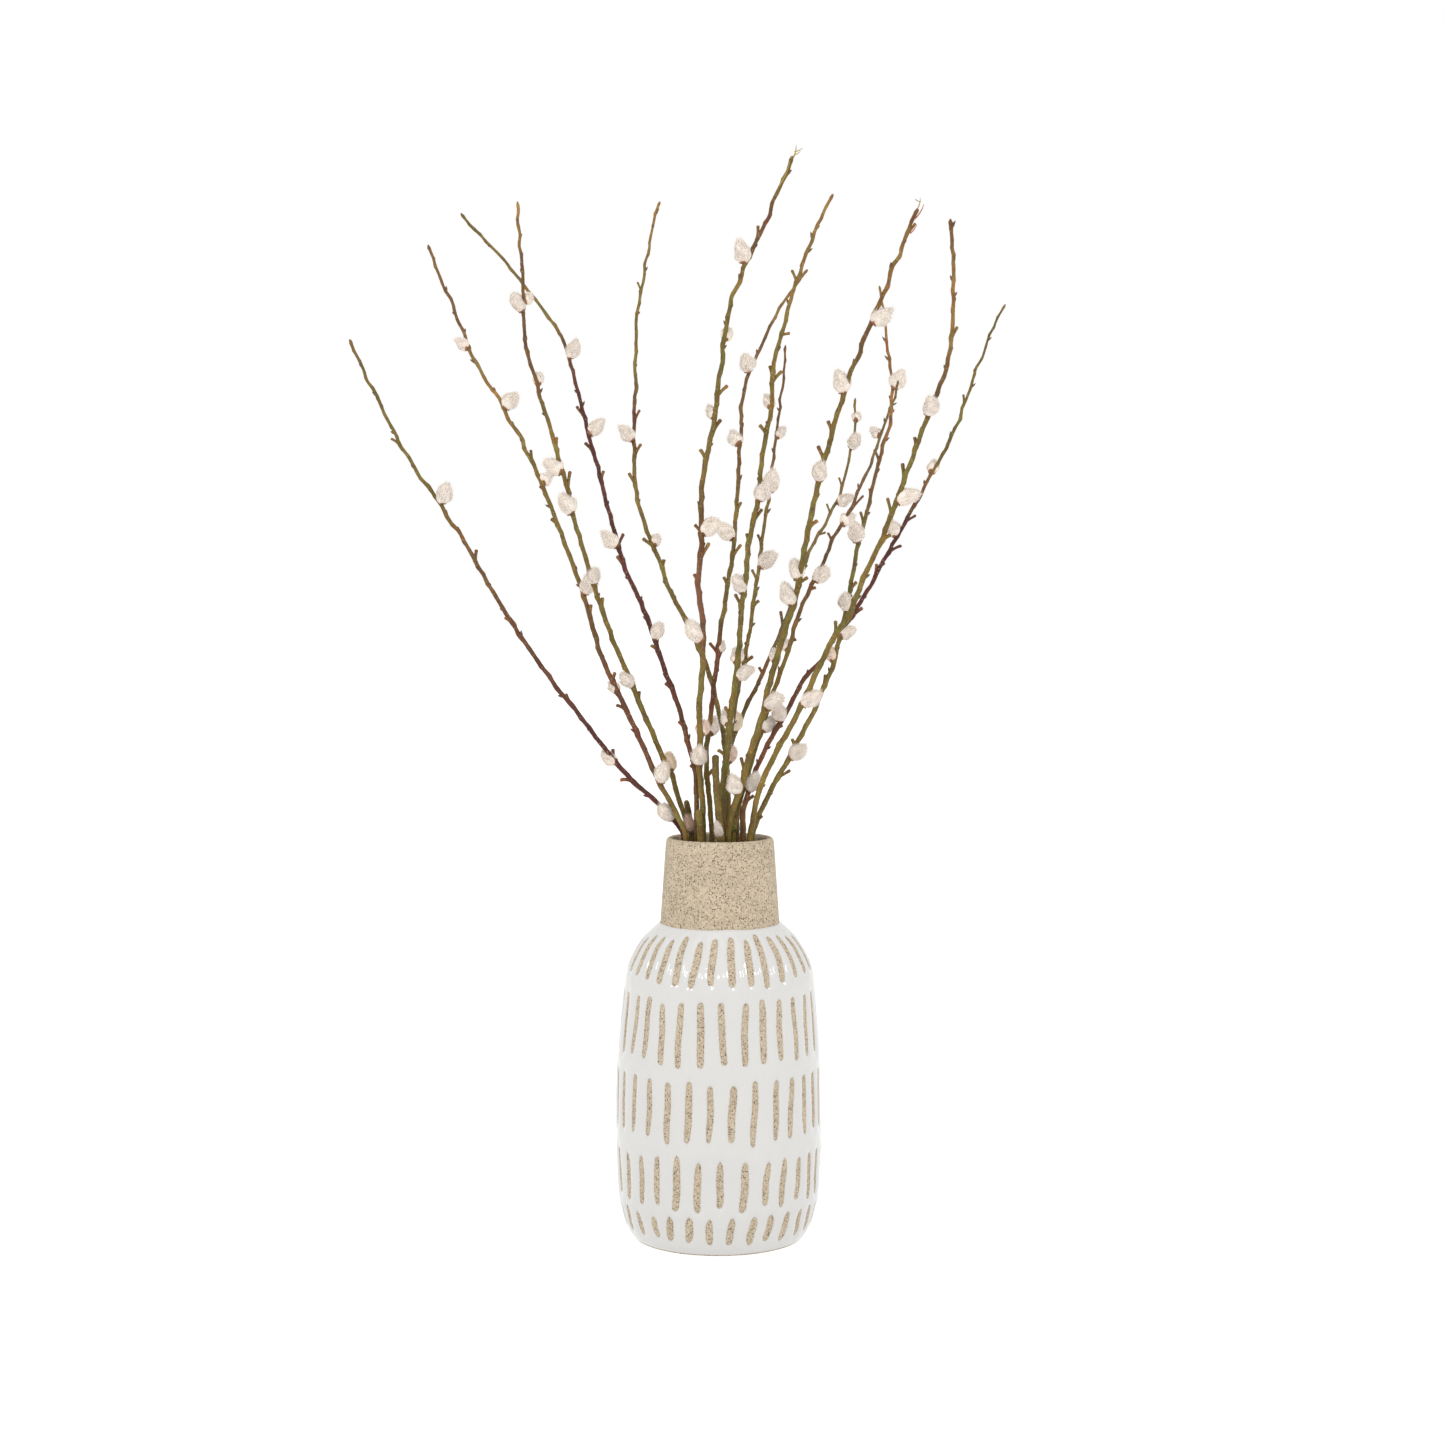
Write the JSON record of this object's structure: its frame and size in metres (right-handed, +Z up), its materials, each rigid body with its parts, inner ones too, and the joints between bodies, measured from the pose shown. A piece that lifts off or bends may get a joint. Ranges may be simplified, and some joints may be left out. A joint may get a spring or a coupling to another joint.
{
  "type": "willow stems in vase",
  "caption": "Tall catkin willow stems fanning out of a round-shouldered stoneware vase with a straight neck.",
  "frame": {"origin": "on the surface it stands on, at the middle of the vase's flat foot", "axes": "+Z up along the vase's axis, +X to the right and -Y to the front as in the picture"},
  "size_m": [0.473, 0.3209, 0.7924],
  "materials": {
    "vase_stoneware": "glossy white glaze with rows of bare clay dashes and a bare speckled sandy neck",
    "willow_bark": "satin olive to red-brown bark, with silky off-white catkins grown on it"
  },
  "bodies": {
    "root": {"vase": "vase_stoneware", "stem_01": "willow_bark", "stem_02": "willow_bark", "stem_03": "willow_bark", "stem_04": "willow_bark", "stem_05": "willow_bark", "stem_06": "willow_bark", "stem_07": "willow_bark", "stem_08": "willow_bark", "stem_09": "willow_bark", "stem_10": "willow_bark", "stem_11": "willow_bark", "stem_12": "willow_bark", "stem_13": "willow_bark", "stem_14": "willow_bark", "stem_15": "willow_bark", "cut_stem_1": "willow_bark", "cut_stem_2": "willow_bark", "cut_stem_3": "willow_bark", "cut_stem_4": "willow_bark", "cut_stem_5": "willow_bark"}
  },
  "joints": []
}
